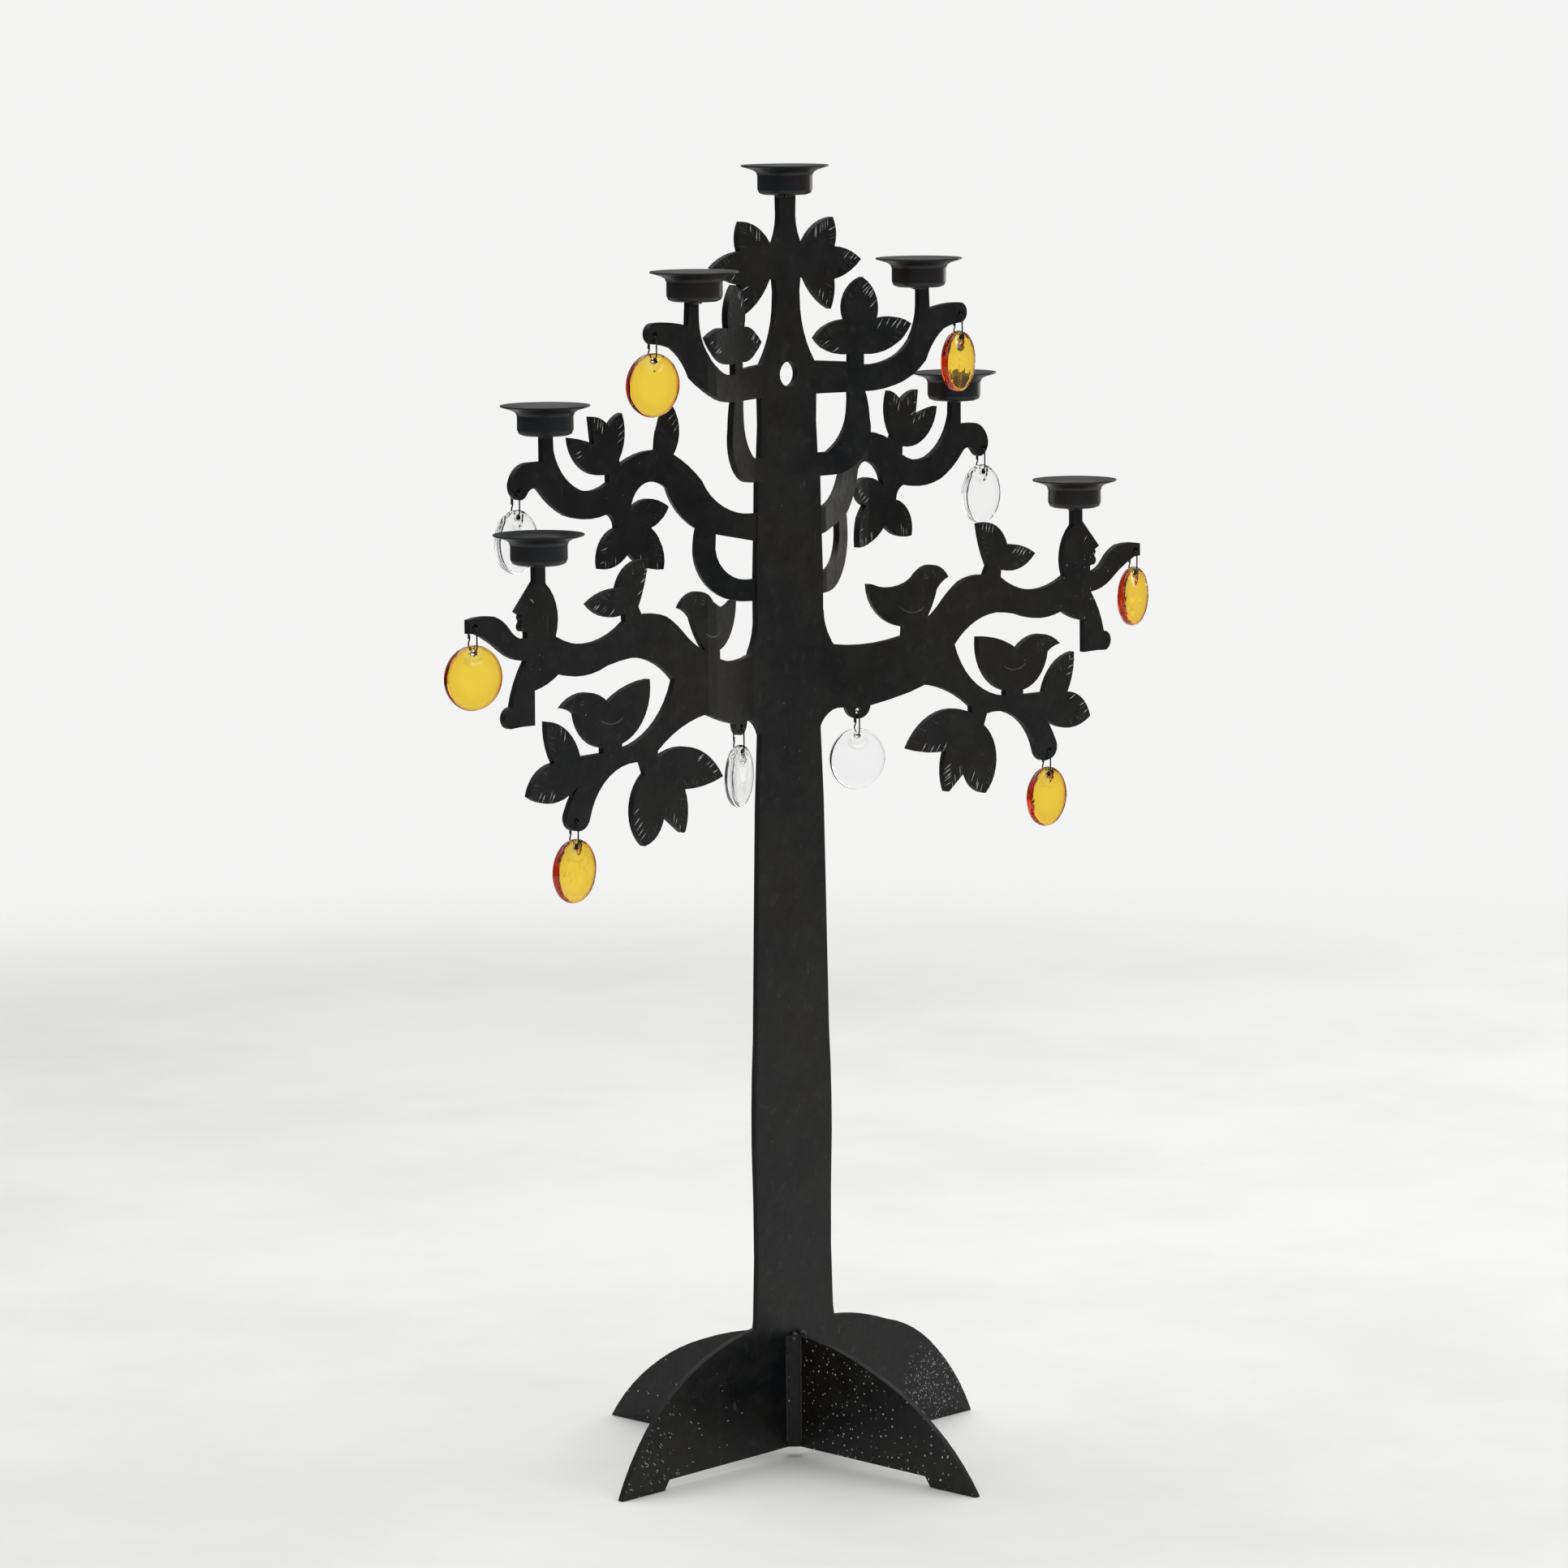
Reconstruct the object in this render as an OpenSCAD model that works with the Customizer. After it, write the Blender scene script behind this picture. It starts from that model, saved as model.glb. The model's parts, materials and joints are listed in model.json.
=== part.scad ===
// Tree-of-life floor candelabra for seven tealights, with ten hanging glass discs.
// One flame-cut steel plate makes the trunk, the six bent arms and two feet. Two more
// feet are welded across it with corner bars, seven pressed cups are welded on the
// stems, and each glass disc hangs on its own wire link.
// Millimetres. The floor is z = 0, the trunk is on the z axis, the front faces -y.

/* [Plate] */
// Thickness of the steel plate
plate_t = 5.3; // [4:0.1:8]
// Reach of the left foot of the tree plate
left_foot = 200; // [180:1:230]
// Reach of the right foot of the tree plate
right_foot = 213; // [180:1:230]
// Reach of the welded front foot
front_foot = 202; // [180:1:230]
// Reach of the welded rear foot
rear_foot = 210; // [180:1:230]
// Width of a corner bar along each plate
corner_w = 8.5; // [5:0.5:14]
// Diameter of the wall-hook hole in the trunk
hook_hole_d = 20; // [12:1:30]

/* [Bends] */
// Turn of the lower arms towards the front, degrees
low_turn = 20.4; // [10:0.1:30]
// Slow sweep of the lower arms beyond their second bend, degrees
low_sweep = 1.74; // [0:0.01:5]
// Turn of the middle arms towards the rear, degrees
mid_turn = 21.45; // [10:0.05:30]
// Turn of the upper arms towards the front, degrees
top_turn = 18.3; // [10:0.1:30]
// Half of the length over which each bend is rolled
ease = 6; // [2:0.5:12]

/* [Candle cups] */
// Inside diameter of a cup
cup_d = 42; // [38:0.5:50]
// Diameter over the rim of a cup
rim_d = 70; // [60:1:90]
// Height of a cup from its underside to its rim
cup_h = 23.5; // [18:0.5:35]
// Thickness of the pressed sheet
sheet_t = 1; // [0.6:0.1:2]

/* [Pendants] */
// Diameter of a glass disc
glass_d = 50; // [40:1:60]
// Thickness of a glass disc at its middle
glass_t = 9; // [6:0.5:12]
// Thickness of a glass disc at its edge, before rounding
glass_edge_t = 4.6; // [3:0.5:8]
// Diameter of the wire
wire_d = 1.2; // [1:0.1:2]
// Width of a wire link between wire centres
link_w = 9; // [7.5:0.1:12]
// Distance from a hole in the plate to the hole in the glass below it
drop = 20; // [16:0.5:30]
// Diameter of the holes that the wire goes through
eye_d = 5.4; // [4:0.1:6]

/* [Hidden] */
$fn = 48;
half_t = plate_t / 2;
far = 1000;
tiny = 0.01;
// bend data: first bend, second bend (both along the flat plate), turn, sweep
low_bend = [40, 123.2, -low_turn, -low_sweep];
mid_bend = [38, 128.25, mid_turn, 0];
top_bend = [35, 116.1, -top_turn, 0];
// height of the gap under the feet, and where a foot pad ends inwards
gap_h = 9.3;
pad_in = 152.5;
pad_top = 147;
weld_top = 102;
shoulder = [46, 113.5];
// cups: name, side (-1 left, 0 middle, 1 right), flat place, bend, underside height
top_rim_z = 1050;
cups = [
    ["cup_top", 0, 0, top_bend, top_rim_z - cup_h],
    ["cup_upper_left", -1, 133, top_bend, 948.5],
    ["cup_upper_right", 1, 133, top_bend, 948.5],
    ["cup_middle_left", -1, 241.5, mid_bend, 847.9],
    ["cup_middle_right", 1, 241.5, mid_bend, 847.9],
    ["cup_lower_left", -1, 314.6, low_bend, 757.3],
    ["cup_lower_right", 1, 314.6, low_bend, 757.3]
];
// pendants: name, side, bend, flat place and height of the hole, turn of the glass
pendants = [
    ["upper_left", -1, top_bend, [180, 925], -8],
    ["upper_right", 1, top_bend, [180, 925], 13],
    ["middle_left", -1, mid_bend, [274.5, 806.5], 8],
    ["middle_right", 1, mid_bend, [274.5, 806.5], 6],
    ["hand_left", -1, low_bend, [387, 716.5], -14],
    ["hand_right", 1, low_bend, [387, 716.5], 16],
    ["tip_left", -1, low_bend, [280, 557], 6],
    ["tip_right", 1, low_bend, [280, 557], 6],
    ["inner_left", -1, low_bend, [70.5, 607.5], 2],
    ["inner_right", 1, low_bend, [70.5, 607.5], 0]
];
link_r = link_w / 2;
// the link hangs so that its wire keeps off the edge of both holes
slack = 0.1;

// ---- outlines made of straight and bowed edges ------------------------------------
// A corner is [x, z] or [x, z, rise]. The edge that leaves it stands out by rise at
// its middle, as an arc of a circle; a negative rise bows inwards. Corners go
// anticlockwise.
arc_step = 12;
// the most that a straight piece may stand off its arc
arc_gap = 0.15;

function rise(c) = len(c) > 2 ? c[2] : 0;

function bowed_edge(a, b, h) =
    let(
        from = [a[0], a[1]],
        across = [b[0] - a[0], b[1] - a[1]],
        chord = norm(across),
        out = [across[1], -across[0]] / chord,
        turn = 4 * atan(2 * abs(h) / chord),
        r = h == 0 ? 0 : chord / 2 / sin(turn / 2),
        step = h == 0 ? arc_step : min(arc_step, 2 * acos(1 - arc_gap / r)),
        n = max(1, ceil(turn / step)),
        s = sign(h)
    )
    [for (i = [0 : n - 1])
        let(
            f = turn * (i / n - 0.5),
            along_chord = h == 0 ? i / n : 0.5 + r * sin(f) / chord,
            stand = h == 0 ? 0 : r * (cos(f) - cos(turn / 2)) * s
        )
        from + across * along_chord + out * stand
    ];

function bowed(c) = [
    for (i = [0 : len(c) - 1])
        for (p = bowed_edge(c[i], c[(i + 1) % len(c)], rise(c[i]))) p
];

module shape(corners) {
    polygon(bowed(corners));
}

// ---- the path of a bent arm, seen from above --------------------------------------
function stops(b) = [0, b[0] - ease, b[0] + ease, b[1] - ease, b[1] + ease, far];
function turns(b) = [0, b[2] / 2, b[2], (b[2] + b[3]) / 2, b[3]];
function way(a) = [cos(a), sin(a)];

// index of the straight piece that holds flat place s
function piece(b, s, i = 0) = i == 4 || s <= stops(b)[i + 1] ? i : piece(b, s, i + 1);

// where flat place s lies, as [x, y]
function along(b, s, i = 0, p = [0, 0]) =
    i == 4 || s <= stops(b)[i + 1]
        ? p + (s - stops(b)[i]) * way(turns(b)[i])
        : along(b, s, i + 1, p + (stops(b)[i + 1] - stops(b)[i]) * way(turns(b)[i]));

function heading(b, s) = turns(b)[piece(b, s)];
// overlap that closes the outer corner where two pieces meet at a small angle
function mitre(b, i) = half_t * tan(abs(turns(b)[i + 1] - turns(b)[i]) / 2);

module band(from, to) {
    translate([from, 0]) square([to - from, top_rim_z]);
}

module upright(t) {
    rotate([90, 0, 0]) linear_extrude(t, center = true) children();
}

// one straight piece of a bent arm, cut from the flat outline
module bent_piece(b, i) {
    start = stops(b)[i];
    end = stops(b)[i + 1];
    before = mitre(b, i - 1);
    after = i == 4 ? 0 : mitre(b, i);
    foot = along(b, start);
    translate([foot[0], foot[1], 0])
        rotate([0, 0, turns(b)[i]])
            translate([-start, 0, 0])
                upright(plate_t) intersection() {
                    children();
                    band(start - before, end + after);
                }
}

// everything of an arm beyond its flat root
module bent_arm(b) {
    for (i = [1 : 4]) bent_piece(b, i) children();
}

// puts children at a flat place and height of a bent arm, turned with the plate there
module at_place(side, b, s, z, turn = 0) {
    p = along(b, s);
    translate([side * p[0], p[1], z]) rotate([0, 0, side * heading(b, s) + turn]) children();
}

// ---- outlines of the right half of the tree ---------------------------------------
module trunk_half() {
    shape([
        [-tiny, gap_h], [pad_top, gap_h - 1.5], [pad_in, 0], [right_foot, 0, 3.5],
        [right_foot - 42, 60, 5], [right_foot - 104, 96, 2.5], [shoulder[0], 110],
        [44.5, 120], [42.7, 170, -0.5], [44.5, 265, 0.8], [42, 350], [39, 480],
        [37.5, 540], [34.5, 597], [38, 640], [38.5, 720], [36.5, 775], [36, 800],
        [33, 820], [31.5, 845], [32, 866], [30.3, 893, -3], [14, 935], [13.2, 950],
        [14.5, 960], [20.8, 960, 3.2], [49.5, 933.5, 2], [54, 957.2, 2.6], [85.5, 972, 2.4],
        [54.5, 983.5, 2.8], [52.5, 1007, 5.5], [17.5, 984.5, -2], [9, 1010],
        [9.5, top_rim_z - cup_h], [-tiny, top_rim_z - cup_h]
    ]);
}

module left_foot_2d() {
    shape([
        [0, shoulder[1]], [-shoulder[0], shoulder[1], 1.7], [104 - left_foot, 101, 4],
        [42 - left_foot, 62, 3.5], [-left_foot, 0], [-pad_in, 0],
        [-pad_top, gap_h - 1.5], [0, gap_h]
    ]);
}

module top_arm_2d() {
    // main arm with its hook and cup stem
    shape([
        [25, 866.5], [76, 866.5, 6.3], [138.5, 889, -2.5], [160, 913.5, -0.8],
        [181, 917.5, 7.5], [180, 933.8, 1.5], [143, 930], [142, 948.5], [131, 948.5],
        [131, 935, -6.9], [105, 893.5, -1.8], [78, 888], [62, 891], [25, 893.5]
    ]);
    // side branch that curls up behind it and carries three leaves
    shape([
        [25, 800], [48, 800.5, 13.5], [82, 845, 1], [77, 870], [77, 896.5, 7.5],
        [121.5, 919.5, 3.5], [89, 924.5, 6.2], [76, 958.5, 8], [60, 925, 3.6],
        [31.5, 911, 4.7], [63.5, 897], [63, 870, -0.5], [62.5, 850, -4.3], [43, 819],
        [25, 819]
    ]);
}

module mid_arm_2d() {
    // main arm
    shape([
        [30, 751.5], [70, 759.5], [88, 764.5, 4.3], [115, 799, -12.3], [151.5, 784],
        [178, 782, 3.3], [222, 784, 1.8], [249, 804.5, -4], [264.5, 803.5, 1],
        [271.5, 799.5, 3], [281, 812, 4.4], [262, 828], [247, 828], [247, 847.9],
        [236, 847.9], [235.5, 836, -5.5], [206.5, 803, -3.2], [175, 807], [161, 820.5, 2.2],
        [124, 829.3], [109, 825.5, 1.5], [84, 803, -8], [40, 775], [30, 775]
    ]);
    // lower side branch
    shape([
        [30, 705], [50, 705.5, 11], [91, 745, 0.8], [88.5, 767], [72.5, 762],
        [73, 748, -7], [46, 722.5], [30, 722.5]
    ]);
    // single leaf on the shoulder of the arm
    shape([[109, 824], [124, 828, 2.5], [113, 869, 7.5]]);
    // three leaves above the arm
    shape([
        [161, 815], [175, 803], [175.5, 813.8, 11.7], [217.5, 844.5, 0.8], [191.5, 838],
        [194.5, 859.5, 2.5], [174.5, 850.5, 1.5], [160.5, 860.5, 4.6], [164, 824]
    ]);
    // stem and three leaves below the arm
    shape([
        [151.5, 792], [152, 782.5, 7.8], [113, 784, 2.6], [129.5, 768, 5], [118, 734.5, 4.9],
        [154, 750.5, 4.5], [186, 739.5, 7.5], [167.5, 770.5, -3], [178, 782.3], [178, 792]
    ]);
}

module low_arm_2d() {
    limb_2d();
    inner_bird_2d();
    outer_bird_2d();
    twig_2d();
    figure_2d();
    outer_leaves_2d();
}

// the forked limb, from the trunk to the drooping tip and to the figure
module limb_2d() {
    shape([
        [30, 597], [34.5, 597, -3], [52, 611.3], [59.5, 611, 10], [81.5, 611.5, 1],
        [132, 625, -4], [187.5, 602], [188, 594.5], [205, 594.5, -14], [264.5, 557, 4],
        [281, 549.5, 4], [289.5, 563, 1], [275.5, 585.5], [274.5, 606], [228, 606.5],
        [226, 607.8, -11], [167.5, 655, -5.5], [217, 677.3, -0.5], [243, 673.8, 4.7],
        [297, 672.3], [331, 683], [331, 702.5], [300, 701.5, -11.2], [222, 706.5],
        [204, 709.5, 1.8], [176, 706, 0.8], [157, 692, -1.5], [131.5, 674.8],
        [111, 666.5, -3.2], [49, 663, -2.6], [38.5, 692], [30, 692]
    ]);
}

// bird that stands near the trunk and looks outwards
module inner_bird_2d() {
    shape([
        [111, 664], [131.5, 670], [131.5, 674.8, 1.5], [147, 702.5, -1.2],
        [160.5, 711.2, 10.4], [121.5, 713, -5], [84, 710], [79.5, 710.3, 9],
        [111.5, 673.8]
    ]);
}

// bird that stands on the lower branch
module outer_bird_2d() {
    shape([
        [228, 602], [249, 602], [249, 610.3, 7], [279, 640, -1], [294, 645.3, 10],
        [242.5, 645, 3.3], [196, 659, 11], [228, 611.5]
    ]);
}

// short twig with two leaves on the upper branch
module twig_2d() {
    shape([
        [204, 705], [222, 702], [223, 712.5, 6.2], [264, 723, 2.6], [230.5, 732.5, 7.7],
        [196.5, 752, 1.6], [208, 716.5], [204, 709.5]
    ]);
}

// plain figure in profile: leg, outstretched arm, head and the cup stem on it
module figure_2d() {
    neck_x = 331;
    brow = [321.5, 745.5];
    nose = [342, 723.5];
    shape([
        [297, 672.3, 1.5], [323.5, 662], [323.7, 635.3], [339, 635.6], [350, 635, 7.5],
        [348, 651.3, 2], [332, 685.5, 2], [357.5, 694.5, -1.2], [386, 711],
        [393, 711.3], [393, 721.8, 1.2], [366, 722.3, 1.5], [349, 710.3, -2.5],
        [neck_x, 702.5], [neck_x, 707.5], [neck_x + 5, 708.3, 1.6], [neck_x + 6, 714.5],
        [neck_x + 5.2, 715.8], [neck_x + 7, 718.8], [neck_x + 6, 720.8], nose,
        brow, [321.5, 757.3], [310.5, 757.3], [310.5, 743, 7], [300, 701.5]
    ]);
}

// two leaves beside the drooping tip
module outer_leaves_2d() {
    shape([
        [262, 590], [275.5, 585.5, 9.8], [331, 581, 6], [303, 604, 2.5], [311, 637, 7.5],
        [274.5, 606]
    ]);
}

// three leaves that hang below the lower arm; they stay flat in the outer plane
module hanging_leaves_2d() {
    shape([
        [188, 602], [187.5, 596.5, 15.3], [113, 574, 2.2], [157, 568.3, 3.2],
        [157, 535.3, 0.8], [161, 534.8], [181, 550, 5], [203.5, 528.5, 14],
        [202, 585.5], [205.5, 594.5], [205, 598]
    ]);
}

// ---- the bent and drilled tree plate ----------------------------------------------
module flat_roots() {
    for (side = [-1, 1]) scale([side, 1]) {
        intersection() {
            top_arm_2d();
            band(0, top_bend[0] - ease + mitre(top_bend, 0));
        }
        intersection() {
            mid_arm_2d();
            band(0, mid_bend[0] - ease + mitre(mid_bend, 0));
        }
        intersection() {
            low_arm_2d();
            band(0, low_bend[0] - ease + mitre(low_bend, 0));
        }
    }
}

module arms() {
    bent_arm(top_bend) top_arm_2d();
    bent_arm(mid_bend) mid_arm_2d();
    bent_arm(low_bend) low_arm_2d();
    outer = along(low_bend, stops(low_bend)[4]);
    translate([outer[0], outer[1], 0])
        rotate([0, 0, -low_sweep])
            translate([-stops(low_bend)[4], 0, 0])
                upright(plate_t) hanging_leaves_2d();
}

module tree_plate() {
    color("#2a2a2a") difference() {
        union() {
            upright(plate_t) {
                trunk_half();
                mirror([1, 0]) intersection() {
                    trunk_half();
                    translate([-1, shoulder[1] - 4]) square([far, far]);
                }
                left_foot_2d();
                flat_roots();
            }
            arms();
            mirror([1, 0, 0]) arms();
        }
        translate([0, 0, 884]) rotate([90, 0, 0])
            cylinder(d = hook_hole_d, h = 4 * plate_t, center = true);
        for (p = pendants)
            at_place(p[1], p[2], p[3][0], p[3][1])
                rotate([90, 0, 0]) cylinder(d = eye_d, h = 3 * plate_t, center = true);
    }
}

// ---- feet welded across the tree plate --------------------------------------------
module cross_foot(reach) {
    upright(plate_t) shape([
        [half_t, gap_h], [pad_top, gap_h - 1.5], [pad_in, 0], [reach, 0, 3],
        [reach - 47, 49, 2.5], [reach - 106, 81, 4.5], [half_t, weld_top]
    ]);
}

module front_foot_plate() {
    color("#262626") rotate([0, 0, -90]) cross_foot(front_foot);
}

module rear_foot_plate() {
    color("#262626") rotate([0, 0, 90]) cross_foot(rear_foot);
}

module corner_bar(quarter) {
    color("#303030")
        rotate([0, 0, 90 * quarter])
            translate([half_t, half_t, gap_h])
                linear_extrude(weld_top - gap_h) polygon([[0, 0], [corner_w, 0], [0, corner_w]]);
}

// ---- candle cup: flat bottom, straight wall, flared rim ---------------------------
module cup() {
    r_in = cup_d / 2;
    r_out = r_in + sheet_t;
    r_rim = rim_d / 2;
    foot_r = 4.5;
    wall_top = 15;
    lip = 1.2;
    color("#2c2c2c") rotate_extrude() polygon([
        [0, 0], [r_out - foot_r, 0], [r_out - 1.4, 1.3], [r_out, foot_r],
        [r_out, wall_top], [r_out + 1.2, wall_top + 2.8], [r_out + 4, wall_top + 4.6],
        [r_rim, cup_h - lip], [r_rim, cup_h], [r_out + 3.6, wall_top + 5.7],
        [r_out + 0.5, wall_top + 3.7], [r_in, wall_top], [r_in, foot_r],
        [r_in - 1.2, sheet_t + 1.2], [r_in - foot_r + 0.7, sheet_t], [0, sheet_t]
    ]);
}

module placed_cup(name) {
    for (c = cups)
        if (c[0] == name) {
            p = along(c[3], c[2]);
            translate([c[1] * p[0], c[1] == 0 ? 0 : p[1], c[4]]) cup();
        }
}

// ---- pendants ---------------------------------------------------------------------
// The frame of a pendant is at the middle of its hole in the plate: x along the
// plate, y through the hole, z up. The link stays square to the plate, and the glass
// hangs turned on it.
module pendant_frame(name, turned) {
    for (p = pendants)
        if (p[0] == name)
            at_place(p[1], p[2], p[3][0], p[3][1], turned ? p[4] : 0) children();
}

module half_ring() {
    rotate([90, 0, 90]) rotate_extrude(angle = 180)
        translate([link_r, 0]) circle(d = wire_d, $fn = 16);
}

// closed link, straight on both sides, round at top and bottom
module wire_link() {
    top_mid = -link_r - slack;
    low_mid = link_r - drop + slack;
    color("#1c1c1c") {
        translate([0, 0, top_mid]) half_ring();
        translate([0, 0, low_mid]) mirror([0, 0, 1]) half_ring();
        for (side = [-1, 1])
            translate([0, side * link_r, low_mid])
                cylinder(d = wire_d, h = top_mid - low_mid, $fn = 16);
    }
}

// glass disc with a hole near its edge
module glass_disc(tint) {
    r = glass_d / 2;
    hole_in = 5.8;
    bevel = 1.6;
    color(tint, 0.7)
        translate([0, 0, -drop - r + hole_in]) rotate([90, 0, 0]) difference() {
            rotate_extrude($fn = 64) polygon([
                [0, -glass_t / 2], [r * 0.55, -glass_t / 2 + 0.5], [r - bevel, -glass_edge_t / 2],
                [r - 0.45, -glass_edge_t / 2 + 1.1], [r, 0], [r - 0.45, glass_edge_t / 2 - 1.1],
                [r - bevel, glass_edge_t / 2], [r * 0.55, glass_t / 2 - 0.5], [0, glass_t / 2]
            ]);
            translate([0, r - hole_in, 0]) cylinder(d = eye_d, h = 2 * glass_t, center = true);
        }
}

module wire(name) {
    pendant_frame(name, false) wire_link();
}

module glass(name, tint) {
    pendant_frame(name, true) glass_disc(tint);
}

// ---- sub-parts ----------------------------------------------------------------------
tree_plate();
front_foot_plate();
rear_foot_plate();
corner_bar(0);  // corner_bar_1
corner_bar(1);  // corner_bar_2
corner_bar(2);  // corner_bar_3
corner_bar(3);  // corner_bar_4
placed_cup("cup_top");  // cup_top
placed_cup("cup_upper_left");  // cup_upper_left
placed_cup("cup_upper_right");  // cup_upper_right
placed_cup("cup_middle_left");  // cup_middle_left
placed_cup("cup_middle_right");  // cup_middle_right
placed_cup("cup_lower_left");  // cup_lower_left
placed_cup("cup_lower_right");  // cup_lower_right
wire("upper_left");  // wire_upper_left
wire("upper_right");  // wire_upper_right
wire("middle_left");  // wire_middle_left
wire("middle_right");  // wire_middle_right
wire("hand_left");  // wire_hand_left
wire("hand_right");  // wire_hand_right
wire("tip_left");  // wire_tip_left
wire("tip_right");  // wire_tip_right
wire("inner_left");  // wire_inner_left
wire("inner_right");  // wire_inner_right
glass("upper_left", "#e8c23a");  // glass_upper_left
glass("upper_right", "#e8c23a");  // glass_upper_right
glass("middle_left", "#e8eeee");  // glass_middle_left
glass("middle_right", "#e8eeee");  // glass_middle_right
glass("hand_left", "#e8c23a");  // glass_hand_left
glass("hand_right", "#e8c23a");  // glass_hand_right
glass("tip_left", "#e8c23a");  // glass_tip_left
glass("tip_right", "#e8c23a");  // glass_tip_right
glass("inner_left", "#e8eeee");  // glass_inner_left
glass("inner_right", "#e8eeee");  // glass_inner_right
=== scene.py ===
"""Looks of the tree-of-life candelabra: paint, wear, welds, chisel marks, cast glass and bent wire."""
import json
import math
import random

import bmesh
import bpy
import mathutils.bvhtree
from mathutils import Matrix, Vector, noise


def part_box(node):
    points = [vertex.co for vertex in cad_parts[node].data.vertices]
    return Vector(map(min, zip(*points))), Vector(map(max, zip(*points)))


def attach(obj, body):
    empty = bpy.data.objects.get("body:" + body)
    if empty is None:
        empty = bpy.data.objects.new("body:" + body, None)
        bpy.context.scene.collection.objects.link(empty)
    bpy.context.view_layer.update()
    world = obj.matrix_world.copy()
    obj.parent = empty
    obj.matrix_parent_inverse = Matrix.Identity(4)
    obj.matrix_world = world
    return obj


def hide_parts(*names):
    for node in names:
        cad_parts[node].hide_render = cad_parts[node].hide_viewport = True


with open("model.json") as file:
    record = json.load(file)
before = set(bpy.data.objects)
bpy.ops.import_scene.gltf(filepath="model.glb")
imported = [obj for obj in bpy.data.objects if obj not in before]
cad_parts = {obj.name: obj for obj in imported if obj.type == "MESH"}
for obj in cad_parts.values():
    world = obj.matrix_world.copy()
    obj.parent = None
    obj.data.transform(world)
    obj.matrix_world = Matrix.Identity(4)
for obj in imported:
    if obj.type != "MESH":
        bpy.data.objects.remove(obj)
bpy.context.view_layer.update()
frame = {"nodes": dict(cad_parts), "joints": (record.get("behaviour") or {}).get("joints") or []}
MM = 0.001
nodes = frame["nodes"]
joints = {j["name"]: j for j in frame["joints"]}
scene = bpy.context.scene
scene.view_settings.view_transform = "Standard"
scene.view_settings.look = "None"


# ---- node helpers -----------------------------------------------------------------
class Tree:
    """A short way to write a node tree: every call makes a node and returns it."""

    def __init__(self, tree):
        self.tree = tree

    def add(self, kind, ins=None, **props):
        n = self.tree.nodes.new(kind)
        for k, v in props.items():
            setattr(n, k, v)
        for k, v in (ins or {}).items():
            self.put(v, n.inputs[k])
        return n

    def put(self, v, socket):
        if isinstance(v, bpy.types.Node):
            v = v.outputs[0]
        if isinstance(v, bpy.types.NodeSocket):
            self.tree.links.new(v, socket)
        else:
            socket.default_value = v

    def math(self, op, a, b=0.0, clamp=False):
        return self.add("ShaderNodeMath", {0: a, 1: b}, operation=op, use_clamp=clamp)

    def step(self, x, lo, hi, out_lo=0.0, out_hi=1.0):
        """A smooth ramp: out_lo where x is at lo, out_hi where it is at hi."""
        return self.add(
            "ShaderNodeMapRange",
            {"Value": x, "From Min": lo, "From Max": hi, "To Min": out_lo, "To Max": out_hi},
            interpolation_type="SMOOTHSTEP",
        )

    def mix(self, f, a, b):
        n = self.add("ShaderNodeMix", data_type="RGBA")
        self.put(f, n.inputs[0])
        self.put(a, n.inputs[6])
        self.put(b, n.inputs[7])
        return n.outputs[2]

    def noise(self, scale, detail=2.0, rough=0.5, stretch=(1, 1, 1), shift=(0, 0, 0)):
        co = self.add("ShaderNodeTexCoord")
        mp = self.add("ShaderNodeMapping", {"Vector": co.outputs["Object"], "Scale": stretch, "Location": shift})
        return self.add(
            "ShaderNodeTexNoise", {"Vector": mp, "Scale": scale, "Detail": detail, "Roughness": rough}
        )

    def cells(self, scale, feature="F1", smooth=None, shift=(0, 0, 0)):
        co = self.add("ShaderNodeTexCoord")
        mp = self.add("ShaderNodeMapping", {"Vector": co.outputs["Object"], "Location": shift})
        n = self.add("ShaderNodeTexVoronoi", feature=feature)
        self.put(mp, n.inputs["Vector"])
        n.inputs["Scale"].default_value = scale
        if smooth is not None:
            n.inputs["Smoothness"].default_value = smooth
        return n

    def plane_cells(self, u, z, scale, shift, stretch, lean):
        """Cells over the plane of a plate: u is the way along it, z is up."""
        leant = self.add("ShaderNodeMath", {0: z, 1: lean, 2: u}, operation="MULTIPLY_ADD")
        along = self.add("ShaderNodeMath", {0: leant, 1: stretch[0], 2: shift}, operation="MULTIPLY_ADD")
        upward = self.add("ShaderNodeMath", {0: z, 1: stretch[1], 2: shift}, operation="MULTIPLY_ADD")
        at = self.add("ShaderNodeCombineXYZ", {0: along, 1: upward})
        n = self.add("ShaderNodeTexVoronoi", voronoi_dimensions="2D")
        self.put(at, n.inputs["Vector"])
        n.inputs["Scale"].default_value = scale
        return n


def material(name):
    """A new material: itself, its Tree, its Principled node and its output node."""
    m = bpy.data.materials.new(name)
    m.use_nodes = True
    m.node_tree.nodes.clear()
    t = Tree(m.node_tree)
    out = t.add("ShaderNodeOutputMaterial")
    bsdf = t.add("ShaderNodeBsdfPrincipled")
    t.put(bsdf.outputs[0], out.inputs["Surface"])
    return m, t, bsdf, out


ROUND = (1, 1)  # stretch of a chip that is as long as it is wide
EDGE_RADIUS = 0.7 * MM  # shading radius of the worn corners of a plate
CHIP_COLOUR = (0.62, 0.62, 0.60, 1)
STRAY_CHIPS = ((0, 0, 0.5), 9.0, 55, 0.030, 0.055, ROUND, 0.0)  # a few, over the whole plate


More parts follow.
